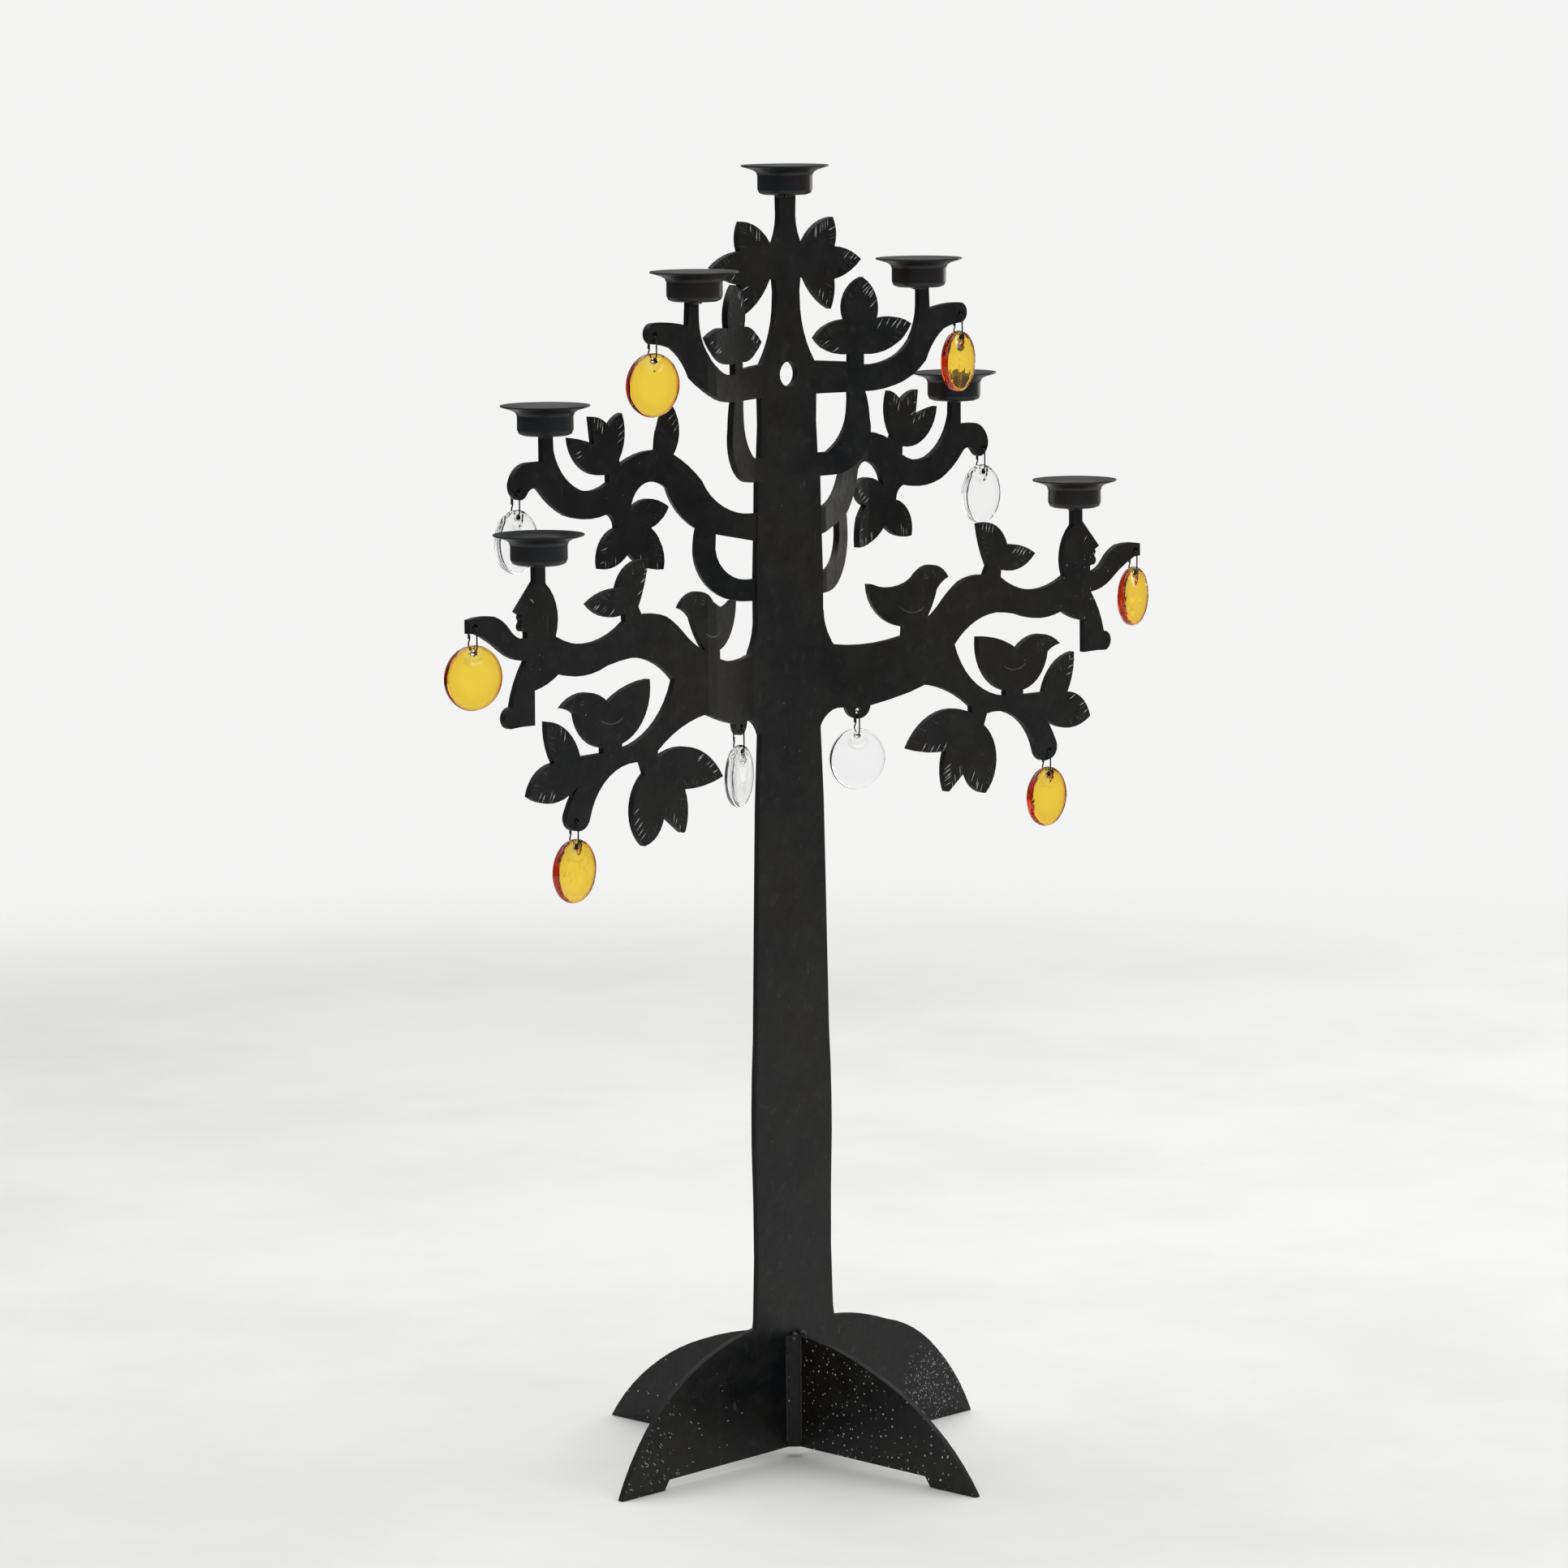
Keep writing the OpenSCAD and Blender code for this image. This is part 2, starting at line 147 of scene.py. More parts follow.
def paint(name, across, seed, spots=(), rough=0.40):
    """Satin black paint on hammered steel. across is the axis (0 x, 1 y) through the plate.

    A spot is a patch of chipped paint: (middle, radius, chips per metre, size, share, stretch, lean).
    """
    m, t, bsdf, _ = material(name)
    shift = (seed, seed * 1.7, seed * 0.6)
    geo = t.add("ShaderNodeNewGeometry")
    n = t.add("ShaderNodeSeparateXYZ", {0: geo.outputs["Normal"]})
    flat = t.math("ABSOLUTE", n.outputs[across])
    # the rounded corner between a face and a cut edge, where the paint is thin
    rounded = t.add("ShaderNodeBevel")
    rounded.samples = 4
    rounded.inputs["Radius"].default_value = EDGE_RADIUS
    turned = t.add("ShaderNodeVectorMath", {0: rounded.outputs[0], 1: geo.outputs["Normal"]})
    turned.operation = "DOT_PRODUCT"
    corner = t.step(turned.outputs["Value"], 0.995, 0.90)
    cut = t.step(flat, 0.35, 0.05)
    broad = t.noise(9, 3, 0.55, shift=shift)
    fine = t.noise(160, 3, 0.6, shift=shift)
    mid = t.noise(42, 3, 0.6, shift=shift)
    blows = t.noise(95, 3, 0.65, shift=(seed * 2, seed, seed * 3))
    body = t.mix(t.step(broad, 0.38, 0.64), (0.0036, 0.0044, 0.0054, 1), (0.0092, 0.0078, 0.0068, 1))
    body = t.mix(t.step(mid, 0.44, 0.64, 0.0, 0.55), body, (0.0120, 0.0115, 0.0106, 1))
    body = t.mix(t.step(blows, 0.56, 0.72, 0.0, 0.7), body, (0.0210, 0.0205, 0.0195, 1))
    body = t.mix(t.step(blows, 0.46, 0.32, 0.0, 0.60), body, (0.0026, 0.0025, 0.0027, 1))
    # painted shade: the cut sides are painted darker than the faces
    body = t.mix(t.math("MULTIPLY", cut, 0.85), body, (0.0036, 0.0036, 0.0038, 1))
    worn = t.math("MULTIPLY", corner, t.step(mid, 0.46, 0.68), clamp=True)
    body = t.mix(t.math("MULTIPLY", worn, 0.5), body, (0.060, 0.056, 0.051, 1))
    hair = t.noise(150, 2, 0.5, stretch=(1.0, 1.0, 0.3), shift=(seed * 3, seed, seed * 2))
    body = t.mix(t.step(hair, 0.72, 0.80, 0.0, 0.4), body, (0.09, 0.09, 0.088, 1))
    place = t.add("ShaderNodeSeparateXYZ", {0: geo.outputs["Position"]})
    for middle, radius, scale, size, share, stretch, lean in (STRAY_CHIPS, *spots):
        away = t.add("ShaderNodeVectorMath", {0: geo.outputs["Position"], 1: middle})
        away.operation = "DISTANCE"
        near = t.step(away.outputs["Value"], radius, radius * 0.35)
        chip = t.plane_cells(place.outputs[1 - across], place.outputs[2], scale, seed, stretch, lean)
        pick = t.add("ShaderNodeSeparateColor", {0: chip.outputs["Color"]})
        here = t.step(t.math("SUBTRACT", t.math("MULTIPLY", near, share), pick.outputs[0]), 0.0, 0.02)
        reach = t.math("MULTIPLY", t.step(pick.outputs[1], 0.0, 1.0, 0.45, 1.0), size)
        shape = t.step(t.math("SUBTRACT", reach, chip.outputs["Distance"]), 0.0, size * 0.25)
        here = t.math("MULTIPLY", here, t.step(flat, 0.5, 0.9, 0.0, 0.9))
        body = t.mix(t.math("MULTIPLY", here, shape), body, CHIP_COLOUR)
    t.put(body, bsdf.inputs["Base Color"])
    sheen = t.step(t.math("ADD", t.math("MULTIPLY", fine, 0.4), t.math("MULTIPLY", mid, 0.6)),
                   0.3, 0.7, rough - 0.07, rough + 0.10)
    t.put(t.math("ADD", sheen, t.math("MULTIPLY", cut, 0.22)), bsdf.inputs["Roughness"])
    dents = t.cells(24, "SMOOTH_F1", 1.0, shift=shift)
    height = t.math("ADD", t.math("MULTIPLY", dents.outputs["Distance"], 1.1),
                    t.math("ADD", t.math("MULTIPLY", mid, 0.55), t.math("MULTIPLY", fine, 0.10)))
    bump = t.add("ShaderNodeBump", {"Height": height, "Strength": 0.75, "Distance": 0.0012,
                                    "Normal": rounded.outputs[0]})
    t.put(bump, bsdf.inputs["Normal"])
    bsdf.inputs["Specular IOR Level"].default_value = 0.30
    return m


def cup_paint(name, seed):
    """Thinner black on spun sheet: smoother, with faint rings; its upright sides carry a painted sheen in bluish
    and brown tints.
    """
    m, t, bsdf, _ = material(name)
    shift = (seed, seed, seed)
    tone = t.noise(26, 3, 0.6, shift=shift)
    fine = t.noise(300, 2, 0.6, shift=shift)
    geo = t.add("ShaderNodeNewGeometry")
    up = t.math("ABSOLUTE", t.add("ShaderNodeSeparateXYZ", {0: geo.outputs["Normal"]}).outputs[2])
    flange = t.step(up, 0.25, 0.75)
    # painted sheen: the upright sides are lighter than the flange, in brownish and bluish tints
    side = t.mix(t.step(tone, 0.36, 0.64), (0.0300, 0.0205, 0.0180, 1), (0.0150, 0.0205, 0.0260, 1))
    top = t.mix(t.step(tone, 0.36, 0.64), (0.0060, 0.0040, 0.0036, 1), (0.0035, 0.0045, 0.0055, 1))
    t.put(t.mix(flange, side, top), bsdf.inputs["Base Color"])
    t.put(t.math("ADD", t.step(tone, 0.3, 0.7, 0.26, 0.38), t.math("MULTIPLY", flange, 0.12)),
          bsdf.inputs["Roughness"])
    rings = t.noise(90, 3, 0.6, stretch=(0.08, 0.08, 1.0), shift=shift)
    h = t.math("ADD", t.math("MULTIPLY", rings, 0.5), t.math("MULTIPLY", fine, 0.12))
    t.put(t.add("ShaderNodeBump", {"Height": h, "Strength": 0.30, "Distance": 0.0006}), bsdf.inputs["Normal"])
    bsdf.inputs["Specular IOR Level"].default_value = 0.34
    return m


def plain_metal(name, a, b, rough, scale, metallic=0.0, bump=0.3):
    """A metal whose colour wanders between a and b in blotches of the given scale."""
    m, t, bsdf, _ = material(name)
    n = t.noise(scale, 3, 0.6)
    t.put(t.mix(t.step(n, 0.35, 0.65), (*a, 1), (*b, 1)), bsdf.inputs["Base Color"])
    t.put(t.step(n, 0.3, 0.7, rough - 0.08, rough + 0.08), bsdf.inputs["Roughness"])
    t.put(t.add("ShaderNodeBump", {"Height": n, "Strength": bump, "Distance": 0.0003}), bsdf.inputs["Normal"])
    bsdf.inputs["Metallic"].default_value = metallic
    return m


def glass(name, absorb, density, tint, rim_painted_shade, seed, lively):
    """Cast glass: smooth, slightly uneven, coloured by its depth, with a painted shade that deepens the colour
    towards the rim.

    absorb and density colour the light inside it. lively is how strong the surface ripple is. rim_painted_shade is
    the painted shade mixed in towards the rim.
    """
    m, t, bsdf, out = material(name)
    shift = (seed, seed * 2, seed * 3)
    flow = t.noise(70, 2, 0.5, stretch=(1, 1, 0.5), shift=shift)
    seeds = t.cells(210, shift=shift)
    rim = t.add("ShaderNodeAttribute")
    rim.attribute_name = "rim"
    face = t.mix(t.step(flow, 0.3, 0.7), (*tint, 1), (*[c * 0.985 for c in tint], 1))
    # painted shade: the colour deepens towards the rim
    t.put(t.mix(rim.outputs["Fac"], face, (*rim_painted_shade, 1)), bsdf.inputs["Base Color"])
    h = t.math("ADD", flow, t.math("MULTIPLY", t.step(seeds.outputs["Distance"], 0.0, 0.14), 0.05))
    t.put(t.add("ShaderNodeBump", {"Height": h, "Strength": 0.35 * lively, "Distance": 0.0012}),
          bsdf.inputs["Normal"])
    t.put(t.step(flow, 0.3, 0.7, 0.0, 0.03), bsdf.inputs["Roughness"])
    bsdf.inputs["IOR"].default_value = 1.5
    bsdf.inputs["Transmission Weight"].default_value = 1.0
    vol = t.add("ShaderNodeVolumeAbsorption")
    vol.inputs["Color"].default_value = (*absorb, 1)
    vol.inputs["Density"].default_value = density
    t.put(vol.outputs[0], out.inputs["Volume"])
    return m


def dress(obj, m):
    """Give every face of a CAD node the one material."""
    obj.data.materials.clear()
    obj.data.materials.append(m)
    for p in obj.data.polygons:
        p.material_index = 0


# ---- the bent plate as a surface: flat place s and height z to a point in space -----------
# each bend: where the two folds are, in mm from the trunk, and the heading after each, in degrees
EASE = 6.0  # half the length of a fold
LOW = (40, 123.2, -20.4, -1.74)
MID = (38, 128.25, 21.45, 0)
TOP = (35, 116.1, -18.3, 0)
FLAT = (900, 950, 0, 0)
HALF_T = 2.65  # half the thickness of the plate


def plate_frame(bend, sign, s, outer=False):
    """Mid-plane point [x, y] in mm at flat place s, and the direction along the plate away from the trunk."""
    stops = [0, bend[0] - EASE, bend[0] + EASE, bend[1] - EASE, bend[1] + EASE, 1e4]
    turns = [0, bend[2] / 2, bend[2], (bend[2] + bend[3]) / 2, bend[3]]
    x = y = 0.0
    for i in range(5):
        a = math.radians(turns[i])
        last = i == 4 or (s <= stops[i + 1] and not outer)
        run = (s if last else stops[i + 1]) - stops[i]
        x += run * math.cos(a)
        y += run * math.sin(a)
        if last:
            return (sign * x, y), Vector((sign * math.cos(a), math.sin(a), 0))


def on_plate(bend, sign, s, z, off=0.0, outer=False):
    """Point in metres; off is how far it stands in front of the mid-plane, in mm."""
    (x, y), along = plate_frame(bend, sign, s, outer)
    front = Vector((sign * along.y, -sign * along.x, 0))
    return (Vector((x, y, z)) + front * off) * MM


def new_object(name, bm, mats, body=None, smooth=True):
    """Turn bm into an object that rides on a body. bm is used up."""
    me = bpy.data.meshes.new(name)
    bm.normal_update()
    bm.to_mesh(me)
    bm.free()
    for m in mats:
        me.materials.append(m)
    for p in me.polygons:
        p.use_smooth = smooth
    o = bpy.data.objects.new(name, me)
    scene.collection.objects.link(o)
    if body:
        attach(o, body)
    return o


# ---- CAD nodes that stay: paint and softly rounded edges ------------------------------
def smooth_group():
    """Geometry nodes that smooth the shading except at edges sharper than 32 degrees."""
    g = bpy.data.node_groups.new("smooth_by_angle", "GeometryNodeTree")
    g.interface.new_socket("Geometry", in_out="INPUT", socket_type="NodeSocketGeometry")
    g.interface.new_socket("Geometry", in_out="OUTPUT", socket_type="NodeSocketGeometry")
    first, last = g.nodes.new("NodeGroupInput"), g.nodes.new("NodeGroupOutput")
    faces = g.nodes.new("GeometryNodeSetShadeSmooth")
    edges = g.nodes.new("GeometryNodeSetShadeSmooth")
    edges.domain = "EDGE"
    edges.inputs["Shade Smooth"].default_value = False
    turn = g.nodes.new("GeometryNodeInputMeshEdgeAngle")
    sharp = g.nodes.new("FunctionNodeCompare")
    sharp.inputs[1].default_value = math.radians(32)
    g.links.new(turn.outputs[0], sharp.inputs[0])
    g.links.new(first.outputs[0], faces.inputs["Geometry"])
    g.links.new(faces.outputs[0], edges.inputs["Geometry"])
    g.links.new(sharp.outputs[0], edges.inputs["Selection"])
    g.links.new(edges.outputs[0], last.inputs[0])
    return g


SMOOTH = smooth_group()
MERGE = 2e-5  # vertices closer than this are one


def soften(obj, width, angle=38, flatten=True):
    """Round the sharp edges of a CAD node. flatten first joins the small faces of a flat side."""
    w = obj.modifiers.new("weld", "WELD")
    w.merge_threshold = MERGE
    if flatten:
        d = obj.modifiers.new("whole_faces", "DECIMATE")
        d.decimate_type = "DISSOLVE"
        d.angle_limit = math.radians(0.4)
    b = obj.modifiers.new("round", "BEVEL")
    b.width = width
    b.segments = 2
    b.limit_method = "ANGLE"
    b.angle_limit = math.radians(angle)
    b.use_clamp_overlap = False


def smooth(obj):
    """Shade smooth except at sharp edges, with the big flat faces kept flat."""
    obj.modifiers.new("smooth", "NODES").node_group = SMOOTH
    even = obj.modifiers.new("even", "WEIGHTED_NORMAL")
    even.keep_sharp = True
    even.weight = 80


dress(nodes["tree_plate"], paint("paint_tree", 1, 1.3, [
    ((-0.188, 0, 0.015), 0.085, 170, 0.13, 0.42, (2.6, 0.45), 0.9),
    ((-0.185, 0, 0.02), 0.080, 200, 0.12, 0.16, (0.45, 1.9), 0.3),
    ((-0.13, 0, 0.05), 0.10, 120, 0.07, 0.14, (0.5, 1.9), 0.3),
    ((0.168, 0, 0.030), 0.050, 380, 0.22, 0.55, (1.7, 0.55), 0.6),
    ((0.160, 0, 0.026), 0.058, 260, 0.14, 0.30, (0.5, 1.8), -0.4),
    ((0.325, -0.037, 0.70), 0.062, 230, 0.11, 0.20, (1.2, 0.6), 0.0),
    ((-0.325, -0.037, 0.70), 0.040, 230, 0.10, 0.08, ROUND, 0.0),
]))
dress(nodes["front_foot_plate"], paint("paint_front", 0, 4.1, [
    ((-0.0026, -0.055, 0.035), 0.135, 125, 0.105, 0.80, ROUND, 0.0),
    ((-0.0026, -0.040, 0.045), 0.080, 190, 0.10, 0.40, (1, 0.6), 0.0),
    ((-0.0026, -0.185, 0.015), 0.055, 200, 0.14, 0.50, (0.8, 0.5), 0.4),
]))
dress(nodes["rear_foot_plate"], paint("paint_rear", 0, 7.7, [
    ((0, 0.17, 0.03), 0.09, 130, 0.08, 0.30, (0.7, 1.2), 0.0),
]))
bar_paint = paint("paint_bars", 1, 2.9, [
    ((0, 0, 0.05), 0.08, 200, 0.14, 0.16, (1, 0.6), 0.0),
], rough=0.5)
for i in range(1, 5):
    dress(nodes[f"corner_bar_{i}"], bar_paint)
cup_names = [n for n in sorted(nodes) if n.startswith("cup_")]
for i, n in enumerate(cup_names):
    dress(nodes[n], cup_paint("paint_" + n, 1.7 * i))

# ---- chisel marks: V grooves cut into the front of the leaves, birds and figures -------------
# painted glint: a light metal colour for cuts that lean towards the light
groove_glint = plain_metal("painted_glint_groove", (0.42, 0.43, 0.43), (0.85, 0.85, 0.84), 0.40, 700, bump=0.15)
groove_dark = plain_metal("painted_groove", (0.035, 0.035, 0.034), (0.10, 0.10, 0.098), 0.4, 900, bump=0.15)
GLINT, PAINTED = 0, 1  # the two materials of a cut, in the cutter's order: a light painted glint and the dark paint
plate_tree = mathutils.bvhtree.BVHTree.FromObject(nodes["tree_plate"], bpy.context.evaluated_depsgraph_get())
cut = bmesh.new()
rng = random.Random(11)
RISE = 0.5 * MM  # how far a cutter stands out of the plate


def groove(points, fronts, width, depth, mat):
    """A closed V-shaped cutter along points on the front face; fronts are the face's normals there."""
    n = len(points)
    rows = []
    for i, (p, f) in enumerate(zip(points, fronts)):
        t = (points[min(i + 1, n - 1)] - points[max(i - 1, 0)]).normalized()
        b = t.cross(f).normalized()
        is_end = i in (0, n - 1)
        w, d = width / 2 * (0.25 if is_end else 1.0), depth * (0.2 if is_end else 1.0)
        scale = (d + RISE) / d
        rows.append([cut.verts.new(q) for q in (
            p - f * d, p + f * RISE + b * w * min(scale, 3), p + f * RISE - b * w * min(scale, 3))])
    faces = []
    for a, c in zip(rows, rows[1:]):
        for k in range(3):
            faces.append(cut.faces.new((a[k], a[(k + 1) % 3], c[(k + 1) % 3], c[k])))
    faces.append(cut.faces.new(rows[0][::-1]))
    faces.append(cut.faces.new(rows[-1]))
    for f in faces:
        f.material_index = mat


def line(bend, sign, flat_points, width, depth, mat, outer=False):
    """One cut through flat places (s, z), in mm, on the front of the bent plate."""
    pts, fronts = [], []
    for s, z in flat_points:
        _, along = plate_frame(bend, sign, s, outer)
        fronts.append(Vector((sign * along.y, -sign * along.x, 0)))
        pts.append(on_plate(bend, sign, s, z, HALF_T, outer))
    groove(pts, fronts, width * MM, depth * MM, mat)


LEAN = 38  # of a leaf's cuts from its midrib, in degrees
REACH = 9.0  # length of such a cut
FIRST, LAST = 0.14, 0.88  # the stretch of a midrib that has cuts beside it
WIDEST_LEAF, SHORTEST_CUT = 26, 2.5
LEFT_OUT = 0.10  # share of the cuts that is missing


def veins(bend, sign, base, tip, count, outer=False):
    """Short slanting cuts along both edges of a leaf, outwards and towards its tip."""
    bs, bz = base
    ts, tz = tip
    ax = math.atan2(tz - bz, ts - bs)
    for edge in (-1, 1):
        for k in range(count):
            u = FIRST + (LAST - FIRST) * (k + rng.uniform(0.25, 0.75)) / count
            if rng.random() < LEFT_OUT:
                continue
            a = ax + edge * math.radians(LEAN + rng.uniform(-8, 8))
            s0, z0 = bs + (ts - bs) * u, bz + (tz - bz) * u
            start = on_plate(bend, sign, s0, z0, 0, outer)
            end = on_plate(bend, sign, s0 + math.cos(a), z0 + math.sin(a), 0, outer)
            hit, _, _, dist = plate_tree.ray_cast(start, (end - start).normalized())
            if hit is None or dist / MM > WIDEST_LEAF:
                continue
            far = dist / MM - rng.uniform(-0.8, 1.4)
            near = max(0.8, far - REACH * rng.uniform(0.75, 1.15))
            if far - near < SHORTEST_CUT:
                continue
            path = [(s0 + math.cos(a) * q, z0 + math.sin(a) * q)
                    for q in (near, near + (far - near) * 0.35, far)]
            # a cut that leans this way towards the light mostly gets the light metal colour, a painted glint
            slant = math.degrees(math.atan2(math.sin(a), math.cos(a) * sign)) % 180
            bright = 12 < slant < 96
            width = rng.uniform(0.65, 0.95)
            line(bend, sign, path, width, 0.40, GLINT if bright and rng.random() < 0.85 else PAINTED, outer)


# leaves: bend, base and tip of the midrib in the flat plate, cuts on each side
LEAVES = [
    (FLAT, (24, 974), (51, 1005), 6), (FLAT, (48, 970), (84.5, 972), 5), (FLAT, (36, 964), (49, 935), 4),
    (TOP, (70, 915), (76, 957.5), 6), (TOP, (76, 908), (120.5, 919), 5), (TOP, (68, 905), (33, 911), 5),
    (MID, (116.5, 824), (113.3, 868), 4), (MID, (176, 824), (216, 844), 4), (MID, (180, 832), (194, 858.5), 4),
    (MID, (171, 830), (161, 859.5), 4), (MID, (152, 777), (114, 783.5), 4), (MID, (146, 768), (118.8, 735.5), 5),
    (MID, (160, 768), (185.4, 740.5), 5), (LOW, (222, 720), (263, 723), 5), (LOW, (214, 718), (197.5, 751), 5),
    (LOW, (286, 596), (330, 581.5), 5), (LOW, (288, 602), (310.8, 636), 4),
]
# leaves below the lower arm, which stay flat in the plane of its outer part
HANGING = [((188, 590), (114, 574.3), 7), ((180, 572), (160, 536), 5), ((192, 588), (203, 530), 6)]


def arc(centre, r, a0, a1, n):
    """n + 1 points on an arc from angle a0 to a1, in degrees."""
    return [(centre[0] + r * math.cos(math.radians(a0 + (a1 - a0) * k / n)),
             centre[1] + r * math.sin(math.radians(a0 + (a1 - a0) * k / n))) for k in range(n + 1)]


for sign in (-1, 1):
    for bend, base, tip, count in LEAVES:
        veins(bend, sign, base, tip, count)
    for base, tip, count in HANGING:
        veins(LOW, sign, base, tip, count, outer=True)
    # inner bird: eye, beak line, wing
    line(LOW, sign, arc((134.5, 713.5), 1.7, 60, 380, 10), 0.7, 0.35, PAINTED)
    line(LOW, sign, [(141.5, 721), (143.2, 716), (146.5, 711.5)], 0.7, 0.35, PAINTED)
    line(LOW, sign, arc((121, 702), 17, 218, 310, 8), 0.9, 0.35, PAINTED)
    # outer bird: eye, beak line, wing
    line(LOW, sign, arc((272.5, 647.5), 1.7, 60, 380, 10), 0.7, 0.35, PAINTED)
    line(LOW, sign, [(279, 656), (280.5, 650.5), (283.5, 644.5)], 0.7, 0.35, PAINTED)
    line(LOW, sign, arc((239, 650), 22, 232, 310, 8), 0.9, 0.35, PAINTED)
    # figure: a plain slit eye and brow
    # the slit eye gets the light painted glint colour
    line(LOW, sign, [(323.5, 728.5), (325.3, 731), (327.6, 732.6)], 0.9, 0.4, GLINT)
    line(LOW, sign, [(326.0, 737.5), (329.0, 737.2), (331.5, 735.4)], 0.7, 0.3, PAINTED)

bmesh.ops.recalc_face_normals(cut, faces=cut.faces)
cutter = new_object("chisel_cutter", cut, [groove_glint, groove_dark], smooth=False)
cutter.hide_render = True
cutter.hide_viewport = True
tree = nodes["tree_plate"]
weld = tree.modifiers.new("weld", "WELD")
weld.merge_threshold = MERGE
chisel = tree.modifiers.new("chisel", "BOOLEAN")
chisel.operation = "DIFFERENCE"
chisel.solver = "EXACT"
chisel.use_self = True
chisel.material_mode = "TRANSFER"
chisel.object = cutter
smooth(tree)
for n in ("front_foot_plate", "rear_foot_plate"):
    soften(nodes[n], 0.5 * MM)
    smooth(nodes[n])
for i in range(1, 5):
    soften(nodes[f"corner_bar_{i}"], 0.8 * MM)
    smooth(nodes[f"corner_bar_{i}"])
for n in cup_names:
    soften(nodes[n], 0.22 * MM, angle=40, flatten=False)
    smooth(nodes[n])

# ---- welds ------------------------------------------------------------------------------
weld_paint = plain_metal("weld_paint", (0.014, 0.013, 0.013), (0.03, 0.029, 0.028), 0.42, 180, bump=0.5)
CUP_LUMPS, BAR_LUMPS, CROWN_LUMPS = 14, 15, 5  # round a cup's foot, down a bar's edge, on its top


def lump(bm, at, size, seed, stretch=(1, 1, 1)):
    """One uneven drop of weld metal."""
    made = bmesh.ops.create_icosphere(bm, subdivisions=3, radius=1.0)
    for v in made["verts"]:
        k = 1 + 0.22 * noise.noise(v.co * 1.7 + Vector((seed, seed * 2, 0)))
        v.co = at + Vector([v.co[i] * size * stretch[i] * k for i in range(3)])


def cup_welds():
    """A ring of lumps where each cup stands on its stem."""
    bm = bmesh.new()
    for n in cup_names:
        lo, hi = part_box(n)
        c = Vector(((lo.x + hi.x) / 2, (lo.y + hi.y) / 2, lo.z))
        w = 9.2 if n == "cup_top" else 5.6
        for k in range(CUP_LUMPS):
            a = 2 * math.pi * k / CUP_LUMPS
            p = c + Vector((w * math.cos(a), 3.0 * math.sin(a), -0.5 + rng.uniform(-0.3, 0.2))) * MM
            lump(bm, p, rng.uniform(1.3, 1.8) * MM, rng.uniform(0, 50))
    new_object("cup_welds", bm, [weld_paint], "tree")


def foot_welds():
    """Lumps on top of the corner bars and beads down both their edges."""
    bm = bmesh.new()
    for i in range(1, 5):
        lo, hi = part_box(f"corner_bar_{i}")
        sx, sy = (1 if lo.x > 0 else -1), (1 if lo.y > 0 else -1)
        c = Vector((sx * 5.2 * MM, sy * 5.2 * MM, hi.z))
        for _ in range(CROWN_LUMPS):
            p = c + Vector((rng.uniform(-2, 1.2) * sx, rng.uniform(-2, 1.2) * sy, rng.uniform(-3.5, 0.6))) * MM
            lump(bm, p, rng.uniform(2.2, 3.3) * MM, rng.uniform(0, 50), (1, 1, 0.9))
        for k in range(BAR_LUMPS):
            z = lo.z + 6 * MM + (hi.z - lo.z - 9 * MM) * (k + 0.5) / BAR_LUMPS
            for px, py in ((11.0, 2.9), (2.9, 11.0)):
                p = Vector((sx * px * MM, sy * py * MM, z + rng.uniform(-1, 1) * MM))
                lump(bm, p, rng.uniform(0.7, 1.0) * MM, rng.uniform(0, 50), (1, 1, 5.5))
    new_object("foot_welds", bm, [weld_paint], "tree")


cup_welds()
foot_welds()

# ---- wire links: hand-bent, with the cut end lying beside the start ------------------------
wire_metal = plain_metal("black_wire", (0.012, 0.012, 0.013), (0.035, 0.034, 0.033), 0.42, 240, metallic=0.4)


def tube(bm, path, r, sides=12):
    """A round wire along path, closed at both ends."""
    rows = []
    for i, p in enumerate(path):
        t = (path[min(i + 1, len(path) - 1)] - path[max(i - 1, 0)]).normalized()
        u = t.orthogonal().normalized() if i == 0 else (u - t * u.dot(t)).normalized()
        w = t.cross(u)
        rows.append([bm.verts.new(p + (u * math.cos(a) + w * math.sin(a)) * r)
                     for a in [2 * math.pi * k / sides for k in range(sides)]])
    for a, b in zip(rows, rows[1:]):
        for k in range(sides):
            bm.faces.new((a[k], a[(k + 1) % sides], b[(k + 1) % sides], b[k]))
    bm.faces.new(rows[0][::-1])
    bm.faces.new(rows[-1])


LINK_R = 4.5 * MM  # half the width of a link
WIRE_R = 0.6 * MM
BESIDE = 1.22 * MM  # from the middle of the wire to the middle of its lapped end


def bent_link(pivot, y, low_z, wob):
    """The wire's path: up the back, through the plate, down the front, through the glass, up the back."""
    x = y.cross(Vector((0, 0, 1)))
    top_z = -LINK_R
    tilt = wob.uniform(-0.12, 0.12) * MM

    def at(yy, zz, xx=0.0):
        return pivot + y * yy + Vector((0, 0, zz)) + x * xx

    z0 = low_z + (top_z - low_z) * wob.uniform(0.35, 0.55)
    end = z0 + wob.uniform(3.0, 4.5) * MM
    half_turn = [math.pi * q / 16 for q in range(17)]
    loop = [at(LINK_R, z0 + (top_z - z0) * q / 6, tilt) for q in range(6)]
    loop += [at(LINK_R * math.cos(a), top_z + LINK_R * math.sin(a), tilt) for a in half_turn]
    loop += [at(-LINK_R, top_z + (low_z - top_z) * q / 10) for q in range(1, 10)]
    loop += [at(-LINK_R * math.cos(a), low_z - LINK_R * math.sin(a)) for a in half_turn]
    for q in range(1, 9):
        z = low_z + (end - low_z) * q / 8
        loop.append(at(LINK_R, z, BESIDE * min(1, max(0, (z - z0 + 3 * MM) / (2.6 * MM)))))
    return loop


